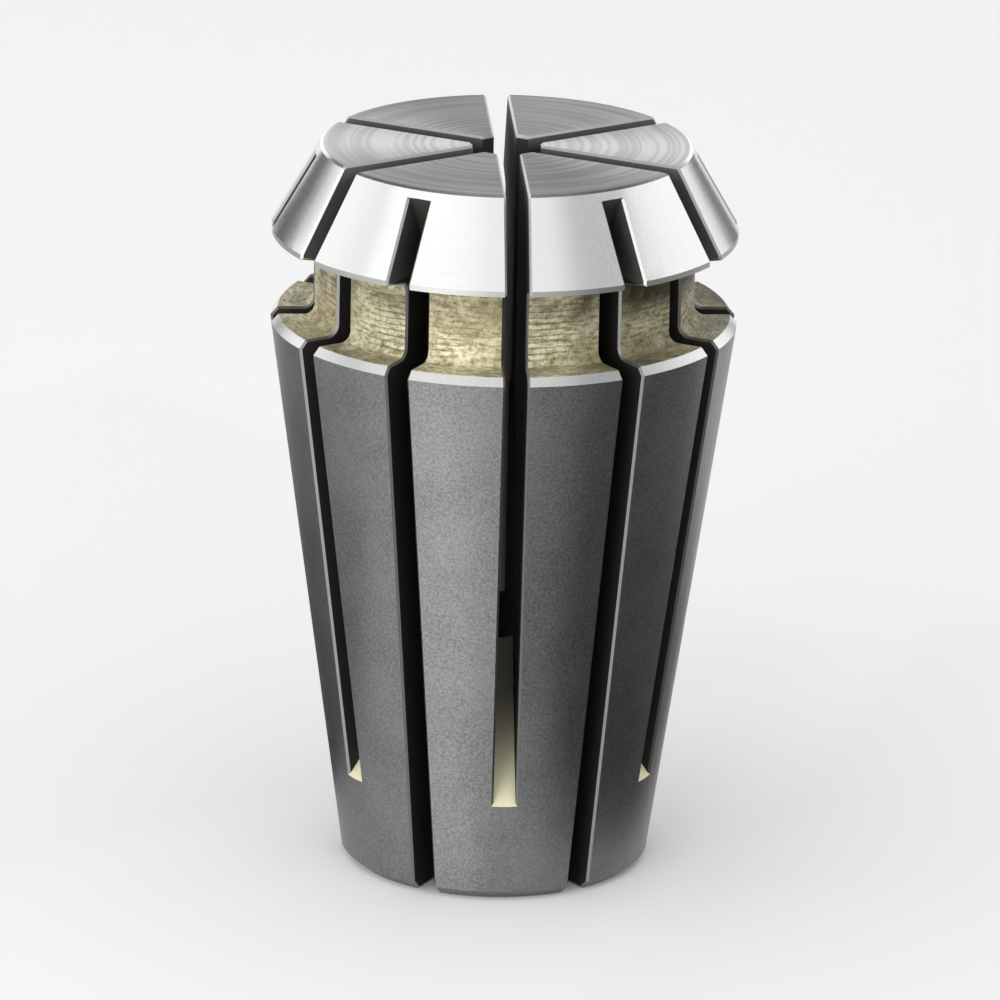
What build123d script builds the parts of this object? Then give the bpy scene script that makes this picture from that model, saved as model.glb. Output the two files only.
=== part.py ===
from build123d import *
import os
from math import hypot, isclose, radians, sqrt, tan

# Spring collet for a small tool holder, in millimetres and degrees.
# One turned and sawn piece of spring steel. A nut bears on the 30 degree front cone and draws the
# 8 degree body into the taper of the holder, and its lip pulls the collet out again by the groove.
# Slots sawn by turns from the front and from the back let the bore close evenly along its length.
# The origin is the middle of the small back face, and +Z runs along the axis to the front face.

# Outside of the turned blank
collet_length = 27.0
body_diameter = 17.0
body_taper = 8.0
shoulder_depth = 6.26
neck_diameter = 13.8
groove_width = 2.7
head_diameter = 16.9
head_rim_width = 0.2
front_cone = 30.0
front_face_diameter = 13.4

# Bores
clamp_bore_diameter = 2.5
clamp_bore_length = 9.0
relief_bore_diameter = 5.2
drill_point = 118.0

# Saw slots
slot_count = 6
slot_width = 0.8
saw_diameter = 60.0
front_slot_reach = -0.8
front_slot_end = 3.8
back_slot_reach = 1.9
back_slot_end = 0.33

# Broken edges
groove_fillet = 0.4
shoulder_break = 0.3
face_break = 0.08
bore_break = 0.1
back_break = 0.35
relief_break = 0.3
slot_edge_break = 0.08

# Worked out from the sizes above
body_radius = body_diameter / 2
neck_radius = neck_diameter / 2
head_radius = head_diameter / 2
face_radius = front_face_diameter / 2
clamp_radius = clamp_bore_diameter / 2
relief_radius = relief_bore_diameter / 2
saw_radius = saw_diameter / 2

shoulder_height = collet_length - shoulder_depth
groove_top = shoulder_height + groove_width
rim_height = collet_length - (head_radius - face_radius) / tan(radians(front_cone))
rim_underside = rim_height - head_rim_width
back_radius = body_radius - shoulder_height * tan(radians(body_taper))
clamp_bore_start = collet_length - clamp_bore_length
relief_bore_end = clamp_bore_start - (relief_radius - clamp_radius) / tan(radians(drill_point / 2))

# A cut ends where the rim of the saw comes out through the surface, and that sets the saw's centre
front_end_radius = back_radius + front_slot_end * tan(radians(body_taper))
front_saw_offset = front_slot_reach + saw_radius
front_saw_drop = sqrt(saw_radius**2 - (front_saw_offset - front_end_radius) ** 2)
front_saw_height = front_slot_end + front_saw_drop

back_end_height = collet_length - back_slot_end
back_end_radius = face_radius + back_slot_end * tan(radians(front_cone))
back_saw_offset = back_slot_reach + saw_radius
back_saw_rise = sqrt(saw_radius**2 - (back_saw_offset - back_end_radius) ** 2)
back_saw_height = back_end_height - back_saw_rise

# The first front slot faces -Y, and the back slots lie halfway between the front ones
front_slot_angle = -90.0
back_slot_angle = front_slot_angle + 180.0 / slot_count

# Front cut: the blade at the end of its travel, and the way it came from the front
with BuildPart() as front_cut:
    with BuildSketch(Plane.XZ):
        with Locations((front_saw_offset, front_saw_height)):
            Circle(saw_radius)
            Rectangle(saw_diameter, collet_length, align=(Align.CENTER, Align.MIN))
    extrude(amount=slot_width / 2, both=True)

# Back cut: the same blade, stopped inside the head
with BuildPart() as back_cut:
    with BuildSketch(Plane.XZ):
        with Locations((back_saw_offset, back_saw_height)):
            Circle(saw_radius)
            Rectangle(saw_diameter, collet_length, align=(Align.CENTER, Align.MAX))
    extrude(amount=slot_width / 2, both=True)


def corner(radius, height):
    """The corner of the half section that lies nearest to a radius and a height."""
    return half_section.vertices().sort_by_distance((radius, height))[0]


def is_outer_slot_edge(edge):
    """True for an edge outside the bores that isn't an arc left by the rim of the saw."""
    middle = edge @ 0.5
    outside = hypot(middle.X, middle.Y) > relief_radius + relief_break
    return outside and not (edge.geom_type == GeomType.CIRCLE and isclose(edge.radius, saw_radius))


# Collet: half section turned about the axis, then sawn from both ends
with BuildPart() as collet:
    with BuildSketch(Plane.XZ) as half_section:
        with BuildLine():
            Polyline(
                (relief_radius, 0),
                (back_radius, 0),
                (body_radius, shoulder_height),
                (neck_radius, shoulder_height),
                (neck_radius, groove_top),
                (head_radius, rim_underside),
                (head_radius, rim_height),
                (face_radius, collet_length),
                (clamp_radius, collet_length),
                (clamp_radius, clamp_bore_start),
                (relief_radius, relief_bore_end),
                close=True,
            )
        make_face()
        fillet(corner(neck_radius, shoulder_height), groove_fillet)
        fillet(corner(neck_radius, groove_top), groove_fillet)
        chamfer(corner(body_radius, shoulder_height), shoulder_break)
        chamfer(corner(face_radius, collet_length), face_break)
        chamfer(corner(clamp_radius, collet_length), bore_break)
        chamfer(corner(back_radius, 0), back_break)
        chamfer(corner(relief_radius, 0), relief_break)
    revolve(axis=Axis.Z)
    with PolarLocations(0, slot_count, start_angle=front_slot_angle):
        add(front_cut.part, mode=Mode.SUBTRACT)
    with PolarLocations(0, slot_count, start_angle=back_slot_angle):
        add(back_cut.part, mode=Mode.SUBTRACT)
    slot_walls = collet.faces().filter_by(GeomType.PLANE).filter_by(Axis.Z, reverse=True)
    chamfer(slot_walls.edges().filter_by(is_outer_slot_edge), slot_edge_break)

collet.part.label = "collet"

os.makedirs("parts", exist_ok=True)
export_step(collet.part, "parts/collet.step")
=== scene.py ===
from math import cos, pi, radians, sin, tan

import bpy
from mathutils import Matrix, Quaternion, Vector


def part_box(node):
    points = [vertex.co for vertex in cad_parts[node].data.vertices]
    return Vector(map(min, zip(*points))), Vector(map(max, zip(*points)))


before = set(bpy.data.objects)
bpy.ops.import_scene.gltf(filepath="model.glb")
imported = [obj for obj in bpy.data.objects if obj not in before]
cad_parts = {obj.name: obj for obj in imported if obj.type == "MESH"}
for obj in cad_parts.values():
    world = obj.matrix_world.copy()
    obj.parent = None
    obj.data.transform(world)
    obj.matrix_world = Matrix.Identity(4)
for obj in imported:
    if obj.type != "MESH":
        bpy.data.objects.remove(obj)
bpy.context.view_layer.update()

# The collet: one piece of spring steel, turned, sawn from both ends, hardened, and then ground on
# the 8 degree body and the 30 degree front cone. The groove and the slots keep the brown-gold skin
# of the heat treatment, because no wheel reaches them. It stands on its small end.

MM = 0.001

collet_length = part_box("collet")[1].z
body_radius = 8.5 * MM
body_taper = radians(8.0)
shoulder_height = collet_length - 6.26 * MM
shoulder_break = 0.3 * MM
neck_radius = 6.9 * MM
head_radius = 8.45 * MM
front_cone = radians(30.0)
front_face_radius = 6.7 * MM
rim_height = collet_length - (head_radius - front_face_radius) / tan(front_cone)
rim_underside_height = rim_height - 0.2 * MM
break_depth = 0.36 * MM
groove_slack = 0.12 * MM
hair = 0.01 * MM

# How much of a face's normal lies in the plane of the axis: all of it on a turned face, none on a
# sawn wall. Leaning and level are shares of the normal that point up.
sawn_below = 0.2
turned_above = 0.85
leaning_least = 0.3
leaning_most = 0.94
level = 0.95
upright = 0.97
barely_up = 0.05

satin_steel = (0.20, 0.203, 0.211, 1.0)
satin_steel_shade = (0.155, 0.154, 0.151, 1.0)
satin_painted_glint = (0.40, 0.40, 0.395, 1.0)
bright_steel = (0.80, 0.80, 0.795, 1.0)
face_steel = (0.70, 0.70, 0.69, 1.0)
face_steel_shade = (0.52, 0.515, 0.50, 1.0)
rim_steel = (0.50, 0.50, 0.49, 1.0)
edge_steel = (0.24, 0.24, 0.235, 1.0)
edge_painted_highlight = (0.60, 0.60, 0.59, 1.0)
heat_cream = (0.86, 0.82, 0.60, 1.0)
heat_gold = (0.56, 0.52, 0.32, 1.0)
heat_amber = (0.36, 0.29, 0.13, 1.0)
# This near-black darkens the groove's real marks and also paints its shade under the head and on one
# side.
heat_soot_and_shade = (0.045, 0.036, 0.014, 1.0)
# Slot wall colours: painted shade deep down, and painted light in the head and by the face.
slot_painted_shade = (0.012, 0.011, 0.009, 1.0)
slot_painted_light = (0.06, 0.059, 0.055, 1.0)
slot_top_painted_light = (0.13, 0.128, 0.122, 1.0)
# The bore is coloured near-black.
bore_near_black = (0.025, 0.023, 0.018, 1.0)
run_out_cream = (0.74, 0.70, 0.47, 1.0)
run_out_shade = (0.10, 0.09, 0.045, 1.0)

bare_roughness = 0.5
roughness_of = {
    "Body": 0.42,
    "Cone": 0.24,
    "Face": 0.42,
    "Groove": 0.6,
    "Edge": 0.5,
    "Slot Wall": 1.0,
    "Bore": 1.0,
    "Shoulder Edge": 0.3,
}
roughness_spread = 0.06
painted_glint_share = 0.42
mark_depth = 0.006 * MM
grinding_depth = 0.35
speck_depth = 0.5
turning_depth = 2.0


def place(tree, kind, inputs=None, **settings):
    """Places a shader node. A value of inputs is a plain value or the socket that feeds it."""
    node = tree.nodes.new(kind)
    for name, value in settings.items():
        setattr(node, name, value)
    for socket, value in (inputs or {}).items():
        if isinstance(value, bpy.types.NodeSocket):
            tree.links.new(value, node.inputs[socket])
        else:
            node.inputs[socket].default_value = value
    return node


def maths(tree, operation, first, second=0.0):
    """One step of arithmetic on two numbers or sockets."""
    return place(tree, "ShaderNodeMath", {0: first, 1: second}, operation=operation).outputs[0]


def times(tree, *values):
    """The product of numbers or sockets."""
    result = values[0]
    for value in values[1:]:
        result = maths(tree, "MULTIPLY", result, value)
    return result


def plus(tree, *values):
    """The sum of numbers or sockets."""
    result = values[0]
    for value in values[1:]:
        result = maths(tree, "ADD", result, value)
    return result


def between(tree, value, low, high):
    """1 where value lies between low and high, and 0 elsewhere."""
    return times(tree, maths(tree, "GREATER_THAN", value, low), maths(tree, "LESS_THAN", value, high))


def ramp(tree, value, start, end):
    """Rises smoothly from 0 at start to 1 at end, and falls where start is the larger."""
    rising = start < end
    spread = {
        "Value": value,
        "From Min": min(start, end),
        "From Max": max(start, end),
        "To Min": 0.0 if rising else 1.0,
        "To Max": 1.0 if rising else 0.0,
    }
    node = place(tree, "ShaderNodeMapRange", spread, interpolation_type="SMOOTHSTEP")
    return node.outputs["Result"]


def mix(tree, share, first, second):
    """Mixes two numbers by a share from 0 to 1."""
    return plus(tree, times(tree, share, second), times(tree, maths(tree, "SUBTRACT", 1.0, share), first))


def blend(tree, share, first, second):
    """Mixes two colours by a share from 0 to 1."""
    node = place(tree, "ShaderNodeMix", data_type="RGBA")
    for socket, value in ((0, share), (6, first), (7, second)):
        if isinstance(value, bpy.types.NodeSocket):
            tree.links.new(value, node.inputs[socket])
        else:
            node.inputs[socket].default_value = value
    return node.outputs[2]


def new_group(name, takes, gives):
    """A shader node group with named inputs and outputs, as (tree, inputs, output node)."""
    tree = bpy.data.node_groups.new(name, "ShaderNodeTree")
    for socket_name, value in takes:
        socket = tree.interface.new_socket(socket_name, in_out="INPUT", socket_type="NodeSocketFloat")
        socket.default_value = value
    for socket_name in gives:
        tree.interface.new_socket(socket_name, in_out="OUTPUT", socket_type="NodeSocketFloat")
    inward = tree.nodes.new("NodeGroupInput")
    outward = tree.nodes.new("NodeGroupOutput")
    return tree, inward.outputs, outward


def use(tree, group, values):
    """Places a node group with its own values and returns its outputs."""
    return place(tree, "ShaderNodeGroup", values, node_tree=group).outputs


def measure(tree):
    """The place on the collet as (position, x, y, height, distance from the axis)."""
    where = place(tree, "ShaderNodeTexCoord").outputs["Object"]
    axes = place(tree, "ShaderNodeSeparateXYZ", {0: where}).outputs
    square = plus(tree, maths(tree, "POWER", axes["X"], 2), maths(tree, "POWER", axes["Y"], 2))
    return where, axes["X"], axes["Y"], axes["Z"], maths(tree, "SQRT", square)


def make_lathe_marks():
    """Lines that run round the axis, as a tool or a wheel leaves them, broken up along their run."""
    takes = [("Lines per Metre", 10000.0), ("Breaks per Metre", 60.0)]
    tree, takes, gives = new_group("lathe marks", takes, ["Marks"])
    where, x, y, height, radius = measure(tree)
    lines = times(tree, plus(tree, height, radius), takes["Lines per Metre"])
    across = times(tree, x, takes["Breaks per Metre"])
    beside = times(tree, y, takes["Breaks per Metre"])
    spot = place(tree, "ShaderNodeCombineXYZ", {0: across, 1: beside, 2: lines}).outputs[0]
    noise = place(tree, "ShaderNodeTexNoise", {"Vector": spot, "Scale": 1.0, "Detail": 2.0})
    tree.links.new(noise.outputs[0], gives.inputs["Marks"])
    return tree


def make_feed_marks():
    """Even rings that a turning tool leaves one below the other as it feeds along the axis."""
    takes = [("Rings per Metre", 4500.0)]
    tree, takes, gives = new_group("feed marks", takes, ["Marks"])
    where, x, y, height, radius = measure(tree)
    waver = place(tree, "ShaderNodeTexNoise", {"Vector": where, "Scale": 700.0, "Detail": 1.0}).outputs[0]
    turns = plus(tree, times(tree, height, takes["Rings per Metre"]), times(tree, waver, 0.8))
    wave = maths(tree, "SINE", times(tree, turns, 2.0 * pi))
    tree.links.new(plus(tree, times(tree, wave, 0.5), 0.5), gives.inputs["Marks"])
    return tree


def make_grain():
    """Specks or patches of one size, as a satin or a heat-treated surface has them."""
    takes = [("Specks per Metre", 6000.0), ("Contrast", 0.1)]
    tree, takes, gives = new_group("grain", takes, ["Specks"])
    where = measure(tree)[0]
    noise = place(tree, "ShaderNodeTexNoise", {"Vector": where, "Detail": 2.0})
    tree.links.new(takes["Specks per Metre"], noise.inputs["Scale"])
    low = maths(tree, "SUBTRACT", 0.5, takes["Contrast"])
    spread = times(tree, takes["Contrast"], 2.0)
    share = maths(tree, "DIVIDE", maths(tree, "SUBTRACT", noise.outputs[0], low), spread)
    within = maths(tree, "MINIMUM", maths(tree, "MAXIMUM", share, 0.0), 1.0)
    tree.links.new(within, gives.inputs["Specks"])
    return tree


def make_zones():
    """Masks for the places on the collet that are finished in different ways, the slot depth, and the
    places where shade or light is painted: under the head, on one side, in the head and by the face.
    """
    finishes = ["Body", "Cone", "Face", "Rim", "Groove", "Bore", "Run Out", "Slot Wall", "Edge"]
    finishes = finishes + ["Shoulder Edge"]
    places = ["In Head", "Under Head", "By Face", "Shaded Side", "Depth"]
    tree, takes, gives = new_group("collet zones", [], finishes + places)
    where, x, y, height, radius = measure(tree)
    flat = place(tree, "ShaderNodeCombineXYZ", {0: x, 1: y, 2: 0.0}).outputs[0]
    outward = place(tree, "ShaderNodeVectorMath", {0: flat}, operation="NORMALIZE").outputs[0]
    facing = place(tree, "ShaderNodeNewGeometry").outputs["True Normal"]
    up = place(tree, "ShaderNodeSeparateXYZ", {0: facing}).outputs["Z"]
    both = {0: facing, 1: outward}
    out = place(tree, "ShaderNodeVectorMath", both, operation="DOT_PRODUCT").outputs["Value"]
    turned_share = plus(tree, times(tree, out, out), times(tree, up, up))

    slot_wall = maths(tree, "LESS_THAN", turned_share, sawn_below)
    slot_edge = between(tree, turned_share, sawn_below, turned_above)
    turned = maths(tree, "GREATER_THAN", turned_share, turned_above)

    down_to_shoulder = maths(tree, "SUBTRACT", shoulder_height, height)
    down_to_face = maths(tree, "SUBTRACT", collet_length, height)
    body_skin = maths(tree, "SUBTRACT", body_radius, times(tree, down_to_shoulder, tan(body_taper)))
    cone_skin = plus(tree, front_face_radius, times(tree, down_to_face, tan(front_cone)))
    skin = maths(tree, "MINIMUM", body_skin, cone_skin)
    depth = maths(tree, "SUBTRACT", skin, radius)
    near_skin = maths(tree, "LESS_THAN", depth, break_depth)

    below_groove = maths(tree, "LESS_THAN", height, shoulder_height - hair)
    above_groove = maths(tree, "GREATER_THAN", height, rim_underside_height - hair)
    in_groove = maths(tree, "SUBTRACT", 1.0, plus(tree, below_groove, above_groove))

    leaning = between(tree, up, leaning_least, leaning_most)
    body = times(tree, turned, below_groove, near_skin, between(tree, up, -leaning_most, 0.0))
    shoulder_edge = times(tree, turned, below_groove, near_skin, leaning)
    off_body = maths(tree, "GREATER_THAN", height, shoulder_height - shoulder_break)
    shoulder_edge = times(tree, shoulder_edge, off_body)
    rim = times(tree, turned, above_groove, maths(tree, "GREATER_THAN", out, upright))
    cone = times(tree, turned, above_groove, near_skin, leaning)
    off_bore = maths(tree, "GREATER_THAN", radius, neck_radius - groove_slack)
    groove = times(tree, turned, in_groove, off_bore)
    bore_mouth = times(tree, above_groove, maths(tree, "GREATER_THAN", up, leaning_least))
    bore_mouth = times(tree, bore_mouth, maths(tree, "SUBTRACT", 1.0, near_skin))
    flat_end = maths(tree, "GREATER_THAN", maths(tree, "ABSOLUTE", up), level)
    flat_end = times(tree, flat_end, maths(tree, "SUBTRACT", 1.0, in_groove))
    face = times(tree, turned, maths(tree, "MAXIMUM", flat_end, bore_mouth))
    run_out = times(tree, turned, below_groove, between(tree, up, barely_up, leaning_most))
    run_out = times(tree, run_out, maths(tree, "SUBTRACT", 1.0, shoulder_edge))
    known = plus(tree, body, shoulder_edge, rim, cone, groove, face, run_out)
    bore = times(tree, turned, maths(tree, "SUBTRACT", 1.0, maths(tree, "MINIMUM", known, 1.0)))

    # A ramp up the groove for the painted shade under the head.
    under_head = ramp(tree, height, shoulder_height + 0.9 * MM, rim_underside_height - 0.8 * MM)
    by_face = ramp(tree, height, collet_length - 0.7 * MM, collet_length)
    # A ramp across x that paints shade on one side of the groove, where the light falls off.
    shaded_side = ramp(tree, x, 1.0 * MM, 5.0 * MM)
    masks = (body, cone, face, rim, groove, bore, run_out, slot_wall, slot_edge, shoulder_edge)
    masks = masks + (above_groove, under_head, by_face, shaded_side, depth)
    for name, value in zip(finishes + places, masks):
        tree.links.new(value, gives.inputs[name])
    return tree


def collet_material():
    """Spring steel in its finishes: satin body, bright cone, turned face, brown-gold groove, with painted
    shade in the slots, run-outs and groove, and painted highlights and glints.
    """
    material = bpy.data.materials.new("collet_spring_steel")
    material.use_nodes = True
    tree = material.node_tree
    tree.nodes.clear()
    lathe_marks = make_lathe_marks()
    grain = make_grain()

    zone = use(tree, make_zones(), {})
    grinding = use(tree, lathe_marks, {"Lines per Metre": 9000.0, "Breaks per Metre": 120.0})[0]
    turning = use(tree, lathe_marks, {"Lines per Metre": 9000.0, "Breaks per Metre": 2600.0})[0]
    rings = use(tree, make_feed_marks(), {"Rings per Metre": 4500.0})[0]
    facing = use(tree, lathe_marks, {"Lines per Metre": 5000.0, "Breaks per Metre": 90.0})[0]
    sparkle = use(tree, grain, {"Specks per Metre": 11000.0, "Contrast": 0.18})[0]
    scale = use(tree, grain, {"Specks per Metre": 7500.0, "Contrast": 0.12})[0]
    patches = use(tree, grain, {"Specks per Metre": 450.0, "Contrast": 0.2})[0]
    mottle = use(tree, grain, {"Specks per Metre": 1100.0, "Contrast": 0.14})[0]
    stains = use(tree, grain, {"Specks per Metre": 260.0, "Contrast": 0.12})[0]

    satin = blend(tree, patches, satin_steel_shade, satin_steel)
    # Lighter specks are painted into the satin colour as glints.
    satin = blend(tree, times(tree, sparkle, painted_glint_share), satin, satin_painted_glint)
    faced = blend(tree, ramp(tree, facing, 0.35, 0.65), face_steel_shade, face_steel)

    heat = blend(tree, ramp(tree, turning, 0.38, 0.62), heat_gold, heat_cream)
    broken_rings = times(tree, ramp(tree, rings, 0.4, 0.0), ramp(tree, patches, 0.2, 0.8))
    # How dark the painted shade under the head is: patchy, and stronger on the shaded side.
    head_shade_strength = plus(tree, 0.15, times(tree, mottle, 0.4), times(tree, zone["Shaded Side"], 0.75))
    for spots, strength, tint in (
        (ramp(tree, stains, 0.6, 1.0), 0.5, heat_amber),
        (mottle, 0.3, heat_amber),
        (ramp(tree, scale, 0.5, 0.0), 0.35, heat_soot_and_shade),
        (ramp(tree, turning, 0.44, 0.3), 0.35, heat_soot_and_shade),
        (broken_rings, 0.5, heat_soot_and_shade),
        # Painted shade under the head, and on one side of the groove.
        (times(tree, zone["Under Head"], head_shade_strength), 1.0, heat_soot_and_shade),
        (zone["Shaded Side"], 0.4, heat_soot_and_shade),
    ):
        heat = blend(tree, times(tree, spots, strength), heat, tint)

    # Painted shade: the run-outs darken from cream to dark olive deeper in the slot.
    deep_shade = ramp(tree, zone["Depth"], 0.6 * MM, 3.2 * MM)
    cream = blend(tree, deep_shade, run_out_cream, run_out_shade)
    # Painted shade and light on the slot walls: near-black deep down, lighter grey in the head where
    # light reaches, lighter still by the face.
    painted_lit_wall = times(tree, zone["In Head"], ramp(tree, zone["Depth"], 4.0 * MM, 0.0))
    wall = blend(tree, painted_lit_wall, slot_painted_shade, slot_painted_light)
    wall = blend(tree, zone["By Face"], wall, slot_top_painted_light)
    # Slot edges in the head carry a painted highlight, lighter than the edges on the body.
    edge = blend(tree, zone["In Head"], edge_steel, edge_painted_highlight)

    colour = faced
    for name, paint in (
        ("Slot Wall", wall),
        ("Bore", bore_near_black),
        ("Body", satin),
        ("Cone", bright_steel),
        ("Rim", rim_steel),
        ("Groove", heat),
        ("Run Out", cream),
        ("Edge", edge),
        ("Shoulder Edge", bright_steel),
    ):
        colour = blend(tree, zone[name], colour, paint)

    roughness = bare_roughness
    for name, value in roughness_of.items():
        roughness = mix(tree, zone[name], roughness, value)
    unevenness = times(tree, maths(tree, "SUBTRACT", sparkle, 0.5), roughness_spread)
    roughness = plus(tree, roughness, unevenness)
    half_groove = times(tree, zone["Groove"], 0.5)
    skinned = plus(tree, zone["Slot Wall"], zone["Run Out"], zone["Bore"], half_groove)
    metallic = maths(tree, "SUBTRACT", 1.0, skinned)

    off_edge = maths(tree, "SUBTRACT", 1.0, zone["Shoulder Edge"])
    relief = plus(
        tree,
        times(tree, grinding, off_edge, grinding_depth),
        times(tree, sparkle, zone["Body"], speck_depth),
        times(tree, plus(tree, turning, rings), zone["Groove"], turning_depth),
        times(tree, scale, zone["Groove"]),
    )
    bump = place(tree, "ShaderNodeBump", {"Height": relief, "Distance": mark_depth, "Strength": 1.0})
    finish = {"Base Color": colour, "Roughness": roughness, "Metallic": metallic}
    steel = place(tree, "ShaderNodeBsdfPrincipled", {**finish, "Normal": bump.outputs[0]})
    steel.inputs["Anisotropic"].default_value = 0.8
    steel.inputs["Anisotropic Rotation"].default_value = 0.25
    place(tree, "ShaderNodeOutputMaterial", {"Surface": steel.outputs[0]})
    return material


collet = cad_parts["collet"]
collet.data.materials.clear()
collet.data.materials.append(collet_material())

# The floor: a plain pale board, wide enough to fill every view, that the collet stands on. It is a
# part of the studio and not of the object.

floor_half_width = 0.6
floor_colour = (0.94, 0.94, 0.94, 1.0)


def flat_board(name, half_width, half_height, colour, roughness):
    """A flat board of one colour, square to Z, as part of the studio."""
    mesh = bpy.data.meshes.new(name)
    signs = ((-1, -1), (1, -1), (1, 1), (-1, 1))
    mesh.from_pydata([(x * half_width, y * half_height, 0.0) for x, y in signs], [], [(0, 1, 2, 3)])
    material = bpy.data.materials.new(name)
    material.use_nodes = True
    board = material.node_tree.nodes["Principled BSDF"]
    board.inputs["Base Color"].default_value = colour
    board.inputs["Roughness"].default_value = roughness
    mesh.materials.append(material)
    board_object = bpy.data.objects.new(name, mesh)
    bpy.context.scene.collection.objects.link(board_object)
    return board_object


flat_board("pale_floor", floor_half_width, floor_half_width, floor_colour, 0.8)

# The light: a white backdrop all round that falls off to grey overhead, a strip light at the front
# left that grazes the satin body, and a large soft box above it for the bright cone. Dark cards
# stand at the sides, behind, overhead and on the floor, and give the bright metal its edges.

horizon_strength = 1.25
overhead_strength = 0.4
soft_strength = 0.84
horizon_top = radians(22)
overhead_start = radians(55)

world = bpy.data.worlds.new("backdrop")
world.use_nodes = True
bpy.context.scene.world = world
sky = world.node_tree
sky.nodes.clear()
direction = place(sky, "ShaderNodeTexCoord").outputs["Generated"]
rise = place(sky, "ShaderNodeSeparateXYZ", {0: direction}).outputs["Z"]
falling_off = ramp(sky, rise, sin(horizon_top), sin(overhead_start))
seen = mix(sky, falling_off, horizon_strength, overhead_strength)
soft = place(sky, "ShaderNodeLightPath").outputs["Is Diffuse Ray"]
strength = mix(sky, soft, seen, soft_strength)
glow = place(sky, "ShaderNodeBackground", {"Color": (1.0, 1.0, 1.0, 1.0), "Strength": strength})
place(sky, "ShaderNodeOutputWorld", {"Surface": glow.outputs[0]})

middle = Vector((0.0, 0.0, collet_length / 2))


def away_from_collet(azimuth, elevation):
    """The direction from the collet towards an azimuth and an elevation, in degrees."""
    turn, rise = radians(azimuth), radians(elevation)
    return Vector((sin(turn) * cos(rise), -cos(turn) * cos(rise), sin(rise)))


def soft_box(name, azimuth, elevation, distance, width, height, brightness):
    """A rectangular soft box that faces the collet. Brightness 1 looks as white as the backdrop."""
    away = away_from_collet(azimuth, elevation)
    lamp = bpy.data.lights.new(name, "AREA")
    lamp.shape = "RECTANGLE"
    lamp.size = width
    lamp.size_y = height
    lamp.energy = brightness * pi * width * height
    box = bpy.data.objects.new(name, lamp)
    box.location = middle + away * distance
    box.rotation_mode = "QUATERNION"
    box.rotation_quaternion = away.to_track_quat("Z", "Y")
    bpy.context.scene.collection.objects.link(box)


card_colour = (0.05, 0.05, 0.05, 1.0)
card_lift = 0.3 * MM


def dark_card(name, azimuth, elevation, distance, width, height):
    """A dark card that faces the collet and shows in its gloss alone."""
    away = away_from_collet(azimuth, elevation)
    card = flat_board(name, width / 2, height / 2, card_colour, 0.9)
    card.location = middle + away * distance
    card.rotation_mode = "QUATERNION"
    card.rotation_quaternion = away.to_track_quat("Z", "Y")
    card.visible_camera = False
    card.visible_diffuse = False
    card.visible_shadow = False
    return card


# Azimuth and elevation in degrees, then distance, width and height in metres
soft_box("strip_light", -34, 4, 0.3, 0.2, 0.14, 5.2)
soft_box("top_light", -30, 54, 0.3, 0.52, 0.34, 0.38)
dark_card("left_back_card", -140, 2, 0.2, 0.1, 0.09)
dark_card("right_back_card", 140, -2, 0.2, 0.1, 0.07)
dark_card("right_card", 76, 0, 0.12, 0.16, 0.05)
dark_card("right_front_card", 54, 10, 0.2, 0.15, 0.15)
dark_card("overhead_card", 180, 53, 0.2, 0.24, 0.2)
for name, azimuth, distance, width, depth in (
    ("right_floor_card", 68, 0.036, 0.064, 0.056),
    ("left_floor_card", -144, 0.032, 0.05, 0.046),
):
    floor_card = dark_card(name, azimuth, 0, distance, width, depth)
    floor_card.location.z = card_lift
    floor_card.rotation_quaternion = Quaternion((0.0, 0.0, 1.0), radians(azimuth))

# The camera: it looks down on the collet a little, with a long lens, and the first front slot is
# turned towards it. The small roll is the lean of the collet in the picture.

camera_azimuth = -3.5
camera_elevation = 18.0
camera_roll = radians(1.1)
camera_distance = 0.35
view_height = 0.0365
sensor = 36.0

camera_data = bpy.data.cameras.new("camera")
camera_data.sensor_width = sensor
camera_data.lens = sensor * camera_distance / view_height
camera_data.clip_start = 0.01
camera_data.clip_end = 5.0
camera = bpy.data.objects.new("camera", camera_data)
bpy.context.scene.collection.objects.link(camera)
back = away_from_collet(camera_azimuth, camera_elevation)
camera.location = middle + back * camera_distance
camera.rotation_mode = "QUATERNION"
camera.rotation_quaternion = (-back).to_track_quat("-Z", "Y") @ Quaternion((0.0, 0.0, 1.0), camera_roll)
bpy.context.scene.camera = camera
bpy.context.scene.view_settings.view_transform = "Standard"
